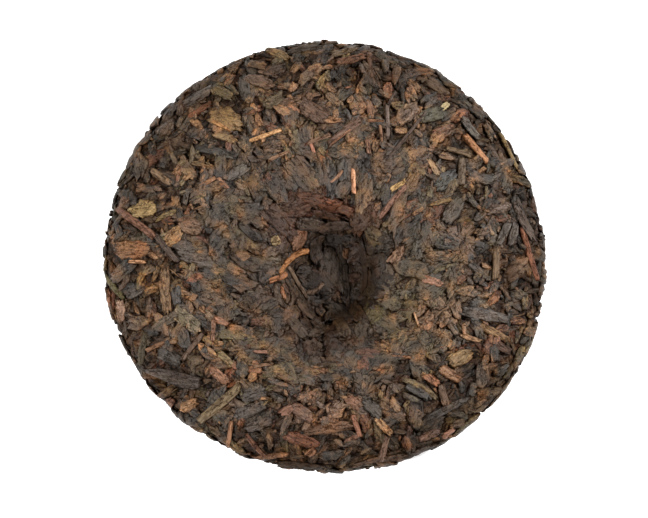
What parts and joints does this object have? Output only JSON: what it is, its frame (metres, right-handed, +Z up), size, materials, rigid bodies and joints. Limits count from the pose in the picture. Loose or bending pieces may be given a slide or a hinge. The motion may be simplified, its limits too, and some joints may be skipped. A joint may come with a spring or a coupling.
{
  "type": "pu erh tea cake",
  "caption": "Round pressed cake of dark ripe tea leaves with a rough flaky skin, a slightly domed face and a dimple in its back.",
  "frame": {"origin": "middle of the cake's outline, on the surface that its domed face lies on", "axes": "+Z up through the thickness, towards the dimpled back; +Y towards the top of the back as pictured"},
  "size_m": [0.1998, 0.2014, 0.0286],
  "materials": {
    "pressed_leaf": "matte dark brown pressed leaf, with russet, olive and tan pieces"
  },
  "bodies": {
    "root": {"tea_cake": "pressed_leaf"}
  },
  "joints": []
}
